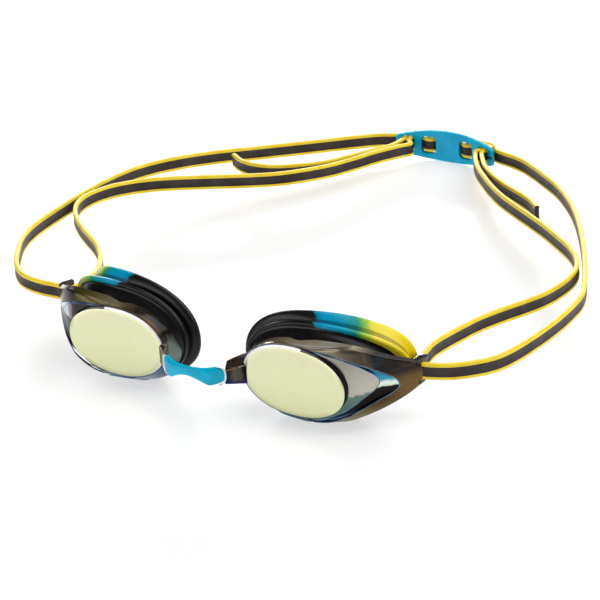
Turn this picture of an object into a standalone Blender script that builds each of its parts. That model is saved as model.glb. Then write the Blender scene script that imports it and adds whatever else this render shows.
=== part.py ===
"""Swim goggles: two mirrored eyecups on a flexible nose bridge, with a double strap and a rear clip.

The lenses face -Y and the clip is at the back, at +Y. +X is the wearer's left. The goggles stand
on z = 0. Dimensions are in millimetres, measured from the middle of the nose bridge (x), the flat
lens faces (y) and the surface that the goggles stand on (z); meshes are made in metres.
"""

from math import asin, cos, pi, radians, sin, tau

import bmesh
import bpy
from mathutils import Vector

MM = 0.001
GAP = 0.3
REACH = 40.0  # half the length of a Boolean helper, well past what it shapes

# Place of the goggles' own frame in the part's frame, whose origin is the box's bottom centre.
FRAME_SHIFT = Vector((19.2, -126.1, 0.0))

# Lenses: flat ovals, side by side.
LENS_X = 39.0
LENS_Z = 18.8
LENS_HALF = (21.5, 14.0)
LENS_THICK = 1.7
OVAL_POWER = 2.15
OVAL_SEGMENTS = 56
RIM = 1.1

# Gasket: the sealing edge, from the nose to the outer corner of the eye.
SEAL_NOSE = 9.3
SEAL_OUTER = 71.6
SEAL_UP = 21.0
SEAL_DOWN = LENS_Z

# Nose bridge: it bows forward, and each cup swings on one of its round ends.
PIVOT = Vector((11.3, -6.2))
PIVOT_R = 2.4
BRIDGE_THICK = 2.6
BRIDGE_REACH = 11.0  # the bridge's blank reaches this far up and down before its profile is cut

# Strap: a flat band on edge, from temple height down to the clip, which stands on the surface.
STRAP_HEIGHT = 6.4
STRAP_THICK = 2.0
STRAP_Z = LENS_Z + 2.8
STRAP_FALL = 0.0625
STRAP_FALL_FROM = 22.0
STRAP_STEP = 6.5
LIFT_Y = 48.0

# Clip: a leaf-shaped plate on an arc, with a slot near each end and two windows.
CLIP_CENTRE = Vector((-34.0, 210.3))
CLIP_R = 45.0
CLIP_HALF_ANGLE = asin(24.0 / CLIP_R)
CLIP_THICK = 2.4
CLIP_HALF_HEIGHTS = (3.8, 7.2)
CLIP_Z = CLIP_HALF_HEIGHTS[1]
WINDOW_ANGLE = radians(12.0)
WINDOW_HALF = (2.9, 3.8)
SLOT_ANGLE = radians(22.5)
SLOT_HALF = (4.0, 3.7)
BACK_OFFSET = 7.3


def clear_scene():
    for obj in list(bpy.data.objects):
        bpy.data.objects.remove(obj)


def make_material(name, colour, roughness, metallic=0.0):
    material = bpy.data.materials.new(name)
    material.use_nodes = True
    shader = material.node_tree.nodes["Principled BSDF"]
    shader.inputs["Base Color"].default_value = (*colour, 1.0)
    shader.inputs["Roughness"].default_value = roughness
    shader.inputs["Metallic"].default_value = metallic
    return material


def add_object(name, mesh_bm, material, pivot, home):
    """A named object from a bmesh in millimetres, with its origin at pivot, parented to home."""
    bmesh.ops.recalc_face_normals(mesh_bm, faces=mesh_bm.faces)
    for vert in mesh_bm.verts:
        vert.co = (vert.co - pivot) * MM
    mesh = bpy.data.meshes.new(name)
    mesh_bm.to_mesh(mesh)
    mesh_bm.free()
    mesh.materials.append(material)
    mesh.shade_smooth()
    mesh.set_sharp_from_angle(angle=pi / 5)
    obj = bpy.data.objects.new(name, mesh)
    obj.location = pivot * MM
    obj.parent = home
    bpy.context.scene.collection.objects.link(obj)
    return obj


def add_helper(name, mesh_bm, material, pivot, home):
    """A hidden solid that shapes another by a Boolean."""
    helper = add_object(name, mesh_bm, material, pivot, home)
    helper.hide_render = True
    helper.display_type = "WIRE"
    return helper


def combine(target, helper, operation):
    modifier = target.modifiers.new(helper.name, "BOOLEAN")
    modifier.object = helper
    modifier.operation = operation


def add_cutter(target, name, mesh_bm, pivot, home, operation="DIFFERENCE"):
    combine(target, add_helper(name, mesh_bm, target.data.materials[0], pivot, home), operation)


def join_crossed(target, name, plan, profile, pivot, home):
    """Join a solid to the target, given as its outline from above and its outline from the front."""
    from_top = prism(plan, LENS_Z - REACH, LENS_Z + REACH, from_above)
    solid = add_helper(name, from_top, target.data.materials[0], pivot, home)
    add_cutter(solid, f"{name}_profile", prism(profile, -REACH, REACH, from_front), pivot, home,
               "INTERSECT")
    combine(target, solid, "UNION")


def loft(rings, closed=False):
    """Skin a list of equal rings of points; closed joins the last ring to the first."""
    mesh_bm = bmesh.new()
    verts = [[mesh_bm.verts.new(point) for point in ring] for ring in rings]
    count = len(verts[0])
    pairs = list(zip(verts, verts[1:]))
    if closed:
        pairs.append((verts[-1], verts[0]))
    for near, far in pairs:
        for i in range(count):
            j = (i + 1) % count
            mesh_bm.faces.new((near[i], near[j], far[j], far[i]))
    if not closed:
        mesh_bm.faces.new(verts[0])
        mesh_bm.faces.new(verts[-1])
    return mesh_bm


def prism(outline, low, high, to_point):
    """Extrude a flat outline between two levels; to_point places (u, v, level)."""
    rings = [[to_point(u, v, level) for u, v in outline] for level in (low, high)]
    return loft(rings)


def from_above(u, v, level):
    return Vector((u, v, level))


def from_front(u, v, level):
    return Vector((u, level, v))


def mirrored(points):
    """The outline of the other half as well, for an outline that starts and ends on x = 0."""
    return points + [(-u, v) for u, v in reversed(points) if u]


def power_sin(angle, power):
    value = sin(angle)
    return abs(value) ** (2 / power) * (1 if value > 0 else -1)


def eye_ring(side, nose, outer, up, down, depth, sweep=0.0, bend=3.0):
    """An eye-shaped ring round one cup; its outer end is swept back from depth by sweep."""
    middle, half = (nose + outer) / 2, (outer - nose) / 2
    ring = []
    for i in range(OVAL_SEGMENTS):
        angle = tau * i / OVAL_SEGMENTS
        x = middle + half * power_sin(angle + pi / 2, OVAL_POWER)
        z = power_sin(angle, OVAL_POWER) * (up if sin(angle) > 0 else down)
        back = sweep * max(0.0, (x - nose) / (outer - nose)) ** bend
        ring.append(Vector((side * x, depth + back, LENS_Z + z)))
    return ring


def oval_ring(side, grow, depth):
    a, b = LENS_HALF[0] + grow, LENS_HALF[1] + grow
    return eye_ring(side, LENS_X - a, LENS_X + a, b, b, depth)


def spline_points(points, step, turn=radians(9)):
    """A smooth curve through the given points, with a point at each step or bend."""
    points = [Vector(p) for p in points]
    padded = [2 * points[0] - points[1], *points, 2 * points[-1] - points[-2]]
    fine = []
    for p0, p1, p2, p3 in zip(padded, padded[1:], padded[2:], padded[3:]):
        for i in range(24):
            t = i / 24
            fine.append(
                0.5 * (2 * p1 + (p2 - p0) * t + (2 * p0 - 5 * p1 + 4 * p2 - p3) * t * t
                       + (3 * p1 - p0 - 3 * p2 + p3) * t ** 3)
            )
    fine.append(points[-1])
    kept, run, start = [fine[0]], 0.0, fine[1] - fine[0]
    for near, point, far in zip(fine, fine[1:], fine[2:]):
        run += (point - near).length
        if run > step or (far - point).angle(start) > turn:
            kept.append(point)
            run, start = 0.0, far - point
    if (kept[-1] - fine[-1]).length < step / 4 and len(kept) > 2:
        kept.pop()
    return kept + [fine[-1]]


def strap_z(y):
    return STRAP_Z - STRAP_FALL * max(0.0, y - STRAP_FALL_FROM)


def band(route, thick=STRAP_THICK, height=STRAP_HEIGHT, step=STRAP_STEP):
    """A flat band on edge along a route seen from above."""
    centre = spline_points(route, step)
    rings = []
    for i, point in enumerate(centre):
        ahead, behind = centre[min(i + 1, len(centre) - 1)], centre[max(i - 1, 0)]
        along = (ahead - behind).normalized()
        across = Vector((-along.y, along.x)) * thick / 2
        low, high = strap_z(point.y) - height / 2, strap_z(point.y) + height / 2
        left, right = point - across, point + across
        rings.append([(*left, low), (*right, low), (*right, high), (*left, high)])
    return loft(rings)


# Strap routes seen from above. Loops and leads are given for the wearer's left, or for each side.
LOOP_ROUTE = [(75.7, 29.5), (75.7, 25.2), (76.2, 23.3), (78.2, 22.2), (80.4, 22.4), (82.6, 22.9)]
OUTER_LEADS = {
    1: [(82.95, 23.0), (88.8, 26.0), (94.2, 31.2), (99.3, 39.0), (101.6, LIFT_Y - GAP)],
    -1: [(-82.95, 22.9), (-88.7, 22.7), (-94.3, 23.4), (-100.6, 25.3), (-106.4, 29.2), (-113.5, 36.5),
         (-121.5, LIFT_Y - GAP)],
}
INNER_LEADS = {
    1: [(75.65, 29.85), (74.9, 34.5), (73.9, 40.0), (74.0, LIFT_Y - GAP)],
    -1: [(-75.75, 29.85), (-76.4, 35.0), (-78.0, 41.0), (-81.2, LIFT_Y - GAP)],
}
BACK_ROUTE_RIGHT = [
    (-121.5, LIFT_Y), (-128.5, 60.0), (-133.5, 74.0), (-137.0, 92.0), (-139.8, 112.0),
    (-141.3, 132.0), (-141.0, 150.0), (-138.0, 164.0), (-131.5, 178.0), (-122.0, 191.5),
    (-110.5, 204.0), (-95.0, 221.0), (-79.5, 238.5), (-70.5, 247.8),
]
BACK_ROUTE_LEFT = [
    (5.5, 245.5), (23.7, 231.0), (38.5, 217.0), (56.0, 194.3), (74.4, 163.3), (90.1, 132.7),
    (98.8, 112.5), (101.6, 98.0), (102.9, 80.0), (102.7, 62.0), (101.6, LIFT_Y),
]
# Each front band runs from its lead to the clip, turns back inside it, and ends in a free tail.
FRONT_ROUTES = {
    -1: [
        (-81.2, LIFT_Y), (-88.0, 58.2), (-96.0, 67.0), (-104.5, 74.0), (-112.5, 80.3),
        (-121.0, 87.8), (-129.0, 96.5), (-135.0, 106.5), (-137.2, 117.5), (-135.6, 129.0),
        (-131.1, 138.5), (-124.5, 146.6), (-116.5, 153.4), (-105.0, 161.3), (-93.0, 169.3),
        (-81.5, 178.2), (-73.6, 188.0), (-66.8, 199.5), (-62.0, 213.0), (-58.8, 224.5),
        (-56.0, 232.0), (-53.2, 238.5), (-50.6, 244.0),
    ],
    1: [
        (74.0, LIFT_Y), (75.0, 58.0), (76.6, 70.0), (79.8, 82.0), (83.6, 93.5), (86.6, 104.5),
        (87.6, 116.0), (86.8, 128.0), (83.8, 138.5), (78.4, 148.0), (71.5, 156.2), (62.8, 164.2),
        (52.5, 173.2), (40.7, 182.4), (29.0, 191.2), (17.5, 200.5), (6.9, 211.0), (0.0, 218.8),
        (-6.0, 225.8), (-11.2, 233.0), (-15.2, 239.5), (-17.6, 244.0),
    ],
}
TAIL_ROUTES = {
    -1: [
        (-57.0, 238.0), (-60.2, 230.0), (-63.0, 222.5), (-66.0, 214.0), (-71.0, 203.0),
        (-78.3, 194.0), (-86.5, 187.5), (-96.0, 185.0), (-104.8, 187.3), (-112.5, 192.8),
    ],
    1: [
        (-11.0, 238.5), (-6.6, 232.0), (-1.0, 225.5), (4.8, 220.0), (11.5, 214.3), (18.5, 209.3),
        (25.5, 204.6), (32.3, 199.4), (39.0, 192.6),
    ],
}
# The turn inside the clip: degrees from its middle, and distance behind its plate's middle.
CLIP_TURN = [
    (21.8, -4.5), (20.9, -2.0), (20.1, 0.3), (18.6, 2.1), (15.9, 2.65), (12.0, 2.0), (8.4, 2.6),
    (6.7, 3.0), (6.1, 3.75), (6.7, 4.5), (8.4, 4.95), (14.0, 5.0), (19.0, 4.9), (22.2, 3.9),
    (24.0, 1.8), (25.1, -0.8), (26.5, -3.2), (28.8, -6.0),
]


def clip_spot(degrees, offset):
    spot = clip_point(radians(degrees), offset, 0)
    return (spot.x, spot.y)


def front_route(side):
    turn = [clip_spot(side * degrees, offset) for degrees, offset in CLIP_TURN]
    return FRONT_ROUTES[side] + turn + TAIL_ROUTES[side]


def back_route():
    behind = [clip_spot(degrees, BACK_OFFSET) for degrees in (-33, -20, -7, 7, 20, 32)]
    return BACK_ROUTE_RIGHT + behind + BACK_ROUTE_LEFT


def make_lens(side, name, material, home):
    rings = [
        oval_ring(side, -0.35, 0.0),
        oval_ring(side, 0.0, 0.3),
        oval_ring(side, 0.0, LENS_THICK),
    ]
    add_object(name, loft(rings), material, cup_pivot(side), home)


def cup_pivot(side):
    """The point that one cup's pieces swing about, on the bridge's round end."""
    return Vector((side * PIVOT.x, PIVOT.y, LENS_Z))


def wing_outline(side):
    """The wing and its post from above: the front skin out to the temple, and back."""
    front = [(44, 1.0), (52, 1.2), (60, 2.4), (66, 5.5), (72, 11.0), (77, 16.6), (80.6, 20.8)]
    rear = [(80.6, 23.6), (79.4, 27.0), (77.0, 27.0), (76.5, 21.6), (74.3, 18.2), (70, 13.0),
            (66, 9.4), (62, 6.4), (56, 4.6), (44, 3.0)]
    return [(side * x, y) for x, y in front + rear]


def wing_profile(side):
    """The wing from the front: from the lens rim, narrowing to the temple."""
    top = [(44, 14.9), (50, 15.1), (56, 14.4), (61, 13.5), (66, 12.5), (70, 11.9), (74, 11.2),
           (77, 9.8), (79.2, 8.4), (80.8, 6.9)]
    bottom = [(80.9, -1.2), (79.4, -2.6), (76, -4.0), (73.6, -5.0), (69.6, -7.0), (63.8, -10.3),
              (57, -13.4), (50, -14.9), (44, -15.1)]
    return [(side * x, LENS_Z + z) for x, z in top + bottom]


def arm_outline(side):
    """The nose arm from above: from the lens's nose end forward to the bridge."""
    points = [(22, 2.0), (18.6, 0.4), (16.6, -1.4), (14.9, -3.4), (13.9, -5.2), (12.4, -3.0),
              (9.6, -3.2), (8.5, -4.3), (8.0, -3.2), (9.4, -1.4), (13.2, 1.0), (16.6, 2.2)]
    return [(side * x, y) for x, y in points]


def arm_profile(side):
    points = [(24, 7.0), (18, 6.0), (13, 4.0), (7, 3.0), (7, -4.2), (13, -5.0), (18, -6.0), (24, -7.0)]
    return [(side * x, LENS_Z + z) for x, z in points]


def make_shell(side, name, material, home):
    """One eyecup: a flared wall with the lens seat, the wing, the strap post and the nose arm."""
    pivot = cup_pivot(side)
    wall = [
        oval_ring(side, RIM, 0.3),
        oval_ring(side, RIM + 0.6, 1.3),
        eye_ring(side, 15.4, 63.0, 15.6, 15.6, 2.6, 5.0, 3.5),
        eye_ring(side, 19.5, 59.0, 12.2, 12.2, 2.6, 3.8, 3.5),
    ]
    shell = add_object(name, loft(wall), material, pivot, home)

    join_crossed(shell, f"{name}_wing", wing_outline(side), wing_profile(side), pivot, home)
    join_crossed(shell, f"{name}_arm", arm_outline(side), arm_profile(side), pivot, home)

    seat = [oval_ring(side, GAP, -2.0), oval_ring(side, GAP, LENS_THICK + GAP)]
    add_cutter(shell, f"{name}_seat", loft(seat), pivot, home)
    cavity = [
        oval_ring(side, -1.9, 1.0),
        eye_ring(side, 17.6, 60.9, 13.4, 13.4, 2.9, 5.0, 3.5),
        eye_ring(side, 17.4, 61.1, 13.6, 13.6, 5.5, 5.0, 3.5),
    ]
    add_cutter(shell, f"{name}_cavity", loft(cavity), pivot, home)

    channel = band([(side * x, y) for x, y in LOOP_ROUTE[:-1]] + [(side * 86.0, 23.6)],
                   STRAP_THICK + 2 * GAP, STRAP_HEIGHT + 2 * GAP, 1.2)
    add_cutter(shell, f"{name}_channel", channel, pivot, home)
    socket = prism(circle(side * PIVOT.x, PIVOT.y, PIVOT_R + GAP), LENS_Z - REACH, LENS_Z + REACH,
                   from_above)
    add_cutter(shell, f"{name}_socket", socket, pivot, home)


def circle(x, y, radius, count=24):
    return [(x + radius * cos(tau * i / count), y + radius * sin(tau * i / count)) for i in range(count)]


def make_gasket(side, name, material, home):
    """One seal: a neck behind the shell, then two rounded ridges and the soft lip round the eye."""
    rings = [
        eye_ring(side, 15.4, 63.0, 15.4, 15.4, 3.0, 5.0, 3.5),
        eye_ring(side, 14.4, 68.2, 16.3, 16.0, 7.4, 8.6, 4.0),
        eye_ring(side, 13.6, 71.0, 17.4, 16.6, 9.0, 12.6, 4.0),
        eye_ring(side, 12.9, 73.6, 19.9, 17.7, 9.0, 15.0, 4.2),
        eye_ring(side, 12.6, 74.2, 20.5, 18.0, 9.9, 15.3, 4.2),
        eye_ring(side, 12.8, 73.8, 20.0, 17.8, 11.1, 15.4, 4.2),
        eye_ring(side, 13.2, 71.6, 18.0, 16.8, 11.9, 15.4, 4.0),
        eye_ring(side, 10.4, 71.4, 20.0, 18.1, 12.4, 17.6, 3.2),
        eye_ring(side, SEAL_NOSE, SEAL_OUTER, SEAL_UP, SEAL_DOWN, 13.4, 18.9, 3.0),
        eye_ring(side, 9.8, 71.2, 20.4, 18.3, 14.9, 19.0, 3.0),
        eye_ring(side, 12.6, 69.0, 17.4, 15.6, 15.6, 17.8, 3.0),
        eye_ring(side, 16.6, 64.0, 14.2, 13.2, 11.0, 11.8, 3.5),
        eye_ring(side, 17.9, 60.6, 13.1, 12.9, 4.6, 5.2, 3.5),
        eye_ring(side, 17.9, 60.6, 13.1, 13.1, 3.0, 5.0, 3.5),
    ]
    add_object(name, loft(rings, closed=True), material, cup_pivot(side), home)


def make_bridge(material, home):
    """The nose bridge: a bowed strip, narrow in the middle, with a round end for each cup."""
    arc = spline_points([(-11.3, -6.2), (-8.3, -8.4), (-4.2, -9.7), (0, -10.0), (4.2, -9.7),
                         (8.3, -8.4), (11.3, -6.2)], 1.6)
    front, rear = [], []
    for i, point in enumerate(arc):
        along = (arc[min(i + 1, len(arc) - 1)] - arc[max(i - 1, 0)]).normalized()
        across = Vector((-along.y, along.x)) * BRIDGE_THICK / 2
        front.append(tuple(point - across))
        rear.append(tuple(point + across))
    pivot = Vector((0, PIVOT.y, LENS_Z))
    low, high = LENS_Z - BRIDGE_REACH, LENS_Z + BRIDGE_REACH
    bridge = add_object("nose_bridge", prism(front + rear[::-1], low, high, from_above), material,
                        pivot, home)
    for side in (1, -1):
        pad = prism(circle(side * PIVOT.x, PIVOT.y, PIVOT_R), low + 1, high - 1, from_above)
        add_cutter(bridge, f"bridge_end_{'right' if side < 0 else 'left'}", pad, pivot, home, "UNION")
    half = [(0, 2.0), (4, 2.2), (8, 2.7), (10.6, 3.1), (12.6, 2.2), (13.9, 0.4), (13.9, -2.4),
            (11.6, -4.4), (9.4, -4.6), (7.5, -3.9), (5, -2.6), (2.5, -1.7), (0, -1.4)]
    outline = mirrored([(x, LENS_Z + z) for x, z in half])
    add_cutter(bridge, "bridge_profile", prism(outline, -REACH, REACH, from_front), pivot, home,
               "INTERSECT")


def clip_point(angle, offset, z):
    reach = CLIP_R + offset
    return Vector((CLIP_CENTRE.x + reach * sin(angle), CLIP_CENTRE.y + reach * cos(angle), z))


def clip_block(angle, half_width, half_height):
    """A block on the clip's arc, thicker than its plate, for cutting a slot or a window."""
    half_angle = half_width / CLIP_R
    thick = 2 * CLIP_THICK
    rings = []
    for turn in (angle - half_angle, angle + half_angle):
        rings.append([
            clip_point(turn, offset, CLIP_Z + height)
            for offset, height in ((-thick, -half_height), (thick, -half_height),
                                   (thick, half_height), (-thick, half_height))
        ])
    return loft(rings)


def make_clip(material, home):
    """The rear clip: a leaf-shaped plate on an arc, with two end slots and two windows."""
    steps = 28
    low, high = CLIP_HALF_HEIGHTS
    rings = []
    for i in range(steps + 1):
        share = 2 * i / steps - 1
        angle = share * CLIP_HALF_ANGLE
        half = low + (high - low) * cos(share * pi / 2) ** 0.9
        rings.append([
            clip_point(angle, offset, CLIP_Z + height)
            for offset, height in ((-CLIP_THICK / 2, -half), (CLIP_THICK / 2, -half),
                                   (CLIP_THICK / 2, half), (-CLIP_THICK / 2, half))
        ])
    centre = clip_point(0, 0, CLIP_Z)
    clip = add_object("rear_clip", loft(rings), material, centre, home)
    for word, side in (("right", -1), ("left", 1)):
        add_cutter(clip, f"clip_window_{word}",
                   clip_block(side * WINDOW_ANGLE, *WINDOW_HALF), centre, home)
        add_cutter(clip, f"clip_slot_{word}",
                   clip_block(side * SLOT_ANGLE, *SLOT_HALF), centre, home)


def make_strap(material, home):
    """The strap, one band in the real goggles: loops, leads and the runs to the clip."""
    temple = Vector((0, LIFT_Y, strap_z(LIFT_Y)))
    for word, side in (("left", 1), ("right", -1)):
        loop = [(side * x, y) for x, y in LOOP_ROUTE]
        pivot = cup_pivot(side)
        add_object(f"{word}_strap_loop", band(loop, step=1.2), material, pivot, home)
        add_object(f"{word}_outer_lead", band(OUTER_LEADS[side], step=4), material, pivot, home)
        add_object(f"{word}_inner_lead", band(INNER_LEADS[side], step=4), material, pivot, home)
        add_object(f"{word}_front_band", band(front_route(side)), material, temple, home)
    add_object("back_band", band(back_route()), material, temple, home)


def build():
    clear_scene()
    home = bpy.data.objects.new("goggles_frame", None)
    home.location = FRAME_SHIFT * MM
    bpy.context.scene.collection.objects.link(home)

    mirror = make_material("mirror_lens", (0.71, 0.73, 0.47), 0.08, metallic=0.9)
    smoke = make_material("smoke_shell", (0.05, 0.04, 0.035), 0.15)
    rubber = make_material("seal_rubber", (0.02, 0.02, 0.025), 0.35)
    bridge_plastic = make_material("bridge_plastic", (0.0, 0.4, 0.62), 0.3)
    clip_plastic = make_material("clip_plastic", (0.0, 0.33, 0.5), 0.3)
    silicone = make_material("strap_silicone", (0.07, 0.055, 0.055), 0.45)

    for word, side in (("left", 1), ("right", -1)):
        make_lens(side, f"{word}_lens", mirror, home)
        make_shell(side, f"{word}_eyecup", smoke, home)
        make_gasket(side, f"{word}_gasket", rubber, home)
    make_bridge(bridge_plastic, home)
    make_clip(clip_plastic, home)
    make_strap(silicone, home)


build()
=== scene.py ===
"""Swim goggles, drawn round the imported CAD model.

Shapes are given in millimetres in the goggles' own frame: x from the middle of the nose bridge
(+X is the wearer's left), y from the flat lens faces (+Y is towards the wearer) and z from the
surface that the goggles stand on. place() turns them into metres in the model's frame. Where a
function takes a side, 1 is the wearer's left and -1 the wearer's right.
"""

from math import asin, atan2, cos, hypot, pi, radians, sin, tau

import bmesh
import bpy
import numpy as np
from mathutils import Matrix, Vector


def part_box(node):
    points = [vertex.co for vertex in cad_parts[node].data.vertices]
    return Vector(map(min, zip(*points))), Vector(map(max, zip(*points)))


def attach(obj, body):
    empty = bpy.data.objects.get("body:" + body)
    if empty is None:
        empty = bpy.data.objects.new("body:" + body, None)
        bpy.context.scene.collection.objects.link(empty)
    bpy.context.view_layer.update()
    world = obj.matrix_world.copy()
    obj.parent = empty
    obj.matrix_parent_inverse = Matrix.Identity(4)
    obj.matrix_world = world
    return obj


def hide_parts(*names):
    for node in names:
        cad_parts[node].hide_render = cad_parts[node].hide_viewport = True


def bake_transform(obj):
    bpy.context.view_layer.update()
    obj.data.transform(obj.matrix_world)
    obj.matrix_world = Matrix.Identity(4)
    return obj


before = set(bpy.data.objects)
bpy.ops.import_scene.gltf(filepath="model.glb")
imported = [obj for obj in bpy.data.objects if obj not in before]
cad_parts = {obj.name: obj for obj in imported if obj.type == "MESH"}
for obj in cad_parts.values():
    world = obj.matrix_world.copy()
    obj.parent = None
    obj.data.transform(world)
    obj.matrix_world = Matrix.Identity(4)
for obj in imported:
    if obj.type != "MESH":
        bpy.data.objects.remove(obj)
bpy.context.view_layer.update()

MM = 0.001
BRIDGE_LOW, BRIDGE_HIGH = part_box("nose_bridge")
LENS_LOW, LENS_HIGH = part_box("left_lens")
ORIGIN = Vector(((BRIDGE_LOW.x + BRIDGE_HIGH.x) / 2, LENS_LOW.y, 0.0))

# Lens: a flat oval; its middle and half sizes come from the frame.
LENS_X = ((LENS_LOW.x + LENS_HIGH.x) / 2 - ORIGIN.x) / MM
LENS_Z = (LENS_LOW.z + LENS_HIGH.z) / 2 / MM
LENS_HALF = ((LENS_HIGH.x - LENS_LOW.x) / 2 / MM, (LENS_HIGH.z - LENS_LOW.z) / 2 / MM - 0.3)
OVAL_POWER = 2.15
OVAL_Z = LENS_Z - 0.4
RIM = 0.55

# Strap: a flat band on edge that falls slowly from the temples to the clip.
STRAP_HEIGHT = 6.4
STRAP_THICK = 2.0
STRAP_Z = LENS_Z + 2.8
STRAP_FALL = 0.0625
STRAP_FALL_FROM = 22.0
LIFT_Y = 48.0

# Clip: a leaf-shaped plate on an arc.
CLIP_CENTRE = Vector((-36.7, 182.3))
CLIP_R = 72.0
CLIP_HALF_ANGLE = asin(24.8 / CLIP_R)
CLIP_THICK = 2.4
CLIP_HALF_HEIGHTS = (3.8, 7.2)
CLIP_Z = CLIP_HALF_HEIGHTS[1]


# ---------- mesh helpers


def word_of(side):
    return "left" if side > 0 else "right"


def place(x, y, z):
    """A point of the goggles' own frame, in millimetres, in the model's frame, in metres."""
    return ORIGIN + Vector((x, y, z)) * MM


def add_object(name, data):
    obj = bpy.data.objects.new(name, data)
    bpy.context.scene.collection.objects.link(obj)
    return obj


def add_piece(name, bm, materials, body=None, stands_for=None, *, crease):
    """A piece from a bmesh in millimetres, which may ride on a body and stand for a CAD node."""
    for vert in bm.verts:
        vert.co = place(*vert.co)
    bmesh.ops.recalc_face_normals(bm, faces=bm.faces)
    mesh = bpy.data.meshes.new(name)
    bm.to_mesh(mesh)
    bm.free()
    for material in materials:
        mesh.materials.append(material)
    mesh.shade_smooth()
    mesh.set_sharp_from_angle(angle=radians(crease))
    obj = add_object(name, mesh)
    if stands_for:
        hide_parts(stands_for)
    if body:
        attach(obj, body)
    return obj


def skin(bm, rings, kinds, closed=False):
    """Skin equal rings of points; kinds gives each strip a material, or a function that does."""
    verts = [[bm.verts.new(point) for point in ring] for ring in rings]
    count = len(verts[0])
    pairs = list(zip(verts, verts[1:]))
    if closed:
        pairs.append((verts[-1], verts[0]))
    for strip, (near, far) in enumerate(pairs):
        for i in range(count):
            j = (i + 1) % count
            face = bm.faces.new((near[i], near[j], far[j], far[i]))
            if kinds:
                kind = kinds[strip]
                face.material_index = kind(i) if callable(kind) else kind
    return verts


def loft(rings, kinds=None):
    """A bmesh skinned over rings of points and closed at both ends."""
    bm = bmesh.new()
    verts = skin(bm, rings, kinds)
    bm.faces.new(verts[0])
    bm.faces.new(verts[-1])
    return bm


def between(p0, p1, p2, p3, t):
    """A point on the smooth curve from p1 to p2 that comes from p0 and goes on to p3."""
    return 0.5 * (2 * p1 + (p2 - p0) * t + (2 * p0 - 5 * p1 + 4 * p2 - p3) * t * t
                  + (3 * p1 - p0 - 3 * p2 + p3) * t ** 3)


def spline(points, per_span=24):
    """A finely divided smooth curve through the given points."""
    points = [Vector(p) for p in points]
    padded = [2 * points[0] - points[1], *points, 2 * points[-1] - points[-2]]
    fine = []
    for near in zip(padded, padded[1:], padded[2:], padded[3:]):
        fine += [between(*near, i / per_span) for i in range(per_span)]
    return fine + [points[-1]]


def resample(points, count, closed=False):
    """The same curve with evenly spaced points."""
    points = np.array([tuple(p) for p in points])
    if closed:
        points = np.vstack([points, points[:1]])
    run = np.concatenate([[0], np.cumsum(np.linalg.norm(np.diff(points, axis=0), axis=1))])
    at = np.linspace(0, run[-1], count, endpoint=not closed)
    columns = [np.interp(at, run, points[:, k]) for k in range(points.shape[1])]
    return [Vector(p) for p in np.stack(columns, axis=1)]


def heading(line, i, reach=1):
    """The direction along a line at one of its points."""
    ahead, behind = line[min(i + reach, len(line) - 1)], line[max(i - reach, 0)]
    return (ahead - behind).normalized()


def along_curve(points):
    """A function that reads the second coordinate of a smooth curve at a first coordinate."""
    xs, ys = zip(*sorted((p.x, p.y) for p in spline(points)))
    return lambda x: float(np.interp(x, xs, ys))


def power_sin(angle, power=OVAL_POWER):
    """A sine that draws an oval squarer than an ellipse."""
    value = sin(angle)
    return abs(value) ** (2 / power) * (1 if value > 0 else -1)


def smooth(low, high, value):
    """0 at low, 1 at high, smooth between."""
    t = min(1.0, max(0.0, (value - low) / (high - low)))
    return t * t * (3 - 2 * t)


# ---------- shader nodes


def is_output(value):
    return isinstance(value, bpy.types.NodeSocket)


def node(kind, inputs, **settings):
    """A shader node; an input is a value or another node's output, and at least one is an output."""
    tree = next(value.id_data for value in inputs.values() if is_output(value))
    made = tree.nodes.new(kind)
    for key, value in settings.items():
        setattr(made, key, value)
    for key, value in inputs.items():
        if is_output(value):
            tree.links.new(value, made.inputs[key])
        else:
            made.inputs[key].default_value = value
    return made


def axes(vector):
    return node("ShaderNodeSeparateXYZ", {"Vector": vector}).outputs


def calc(operation, a, b=0.0):
    return node("ShaderNodeMath", {0: a, 1: b}, operation=operation).outputs[0]


def times(a, b):
    return calc("MULTIPLY", a, b)


def fade(value, low, high, to=(0.0, 1.0)):
    """From one level at low to another at high, smooth between."""
    return node("ShaderNodeMapRange", {
        "Value": value, "From Min": low, "From Max": high, "To Min": to[0], "To Max": to[1],
    }, interpolation_type="SMOOTHSTEP").outputs["Result"]


def mix(share, a, b):
    return node("ShaderNodeMixRGB", {"Fac": share, "Color1": a, "Color2": b}).outputs["Color"]


def noise(vector, scale, detail=3.0):
    """Noise in millimetres: scale is about how many lumps there are in a millimetre."""
    return node("ShaderNodeTexNoise", {
        "Vector": vector, "Scale": scale, "Detail": detail,
    }).outputs["Fac"]


def ragged(value, source, reach):
    """A value pushed up by noise, by as much as reach."""
    return calc("ADD", value, times(source, reach))


def srgb(code):
    """A linear colour from one written as 0xRRGGBB."""
    parts = [(code >> shift & 255) / 255 for shift in (16, 8, 0)]
    linear = [c / 12.92 if c <= 0.04045 else ((c + 0.055) / 1.055) ** 2.4 for c in parts]
    return (*linear, 1.0)


def ramp(value, stops):
    """Colours along a value; each stop is the value where its colour stands."""
    low, high = stops[0][0], stops[-1][0]
    share = node("ShaderNodeMapRange", {"Value": value, "From Min": low, "From Max": high})
    made = node("ShaderNodeValToRGB", {"Fac": share.outputs["Result"]})
    elements = made.color_ramp.elements
    while len(elements) < len(stops):
        elements.new(0.5)
    for element, (spot, colour) in zip(elements, stops):
        element.position = (spot - low) / (high - low)
        element.color = srgb(colour)
    return made.outputs["Color"]


def new_material(name, **values):
    """A material with constants on its Principled shader's own sockets."""
    material = bpy.data.materials.new(name)
    material.use_nodes = True
    inputs = material.node_tree.nodes["Principled BSDF"].inputs
    for key, value in values.items():
        inputs[key.replace("_", " ").title().replace("Ior", "IOR")].default_value = value
    return material


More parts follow.
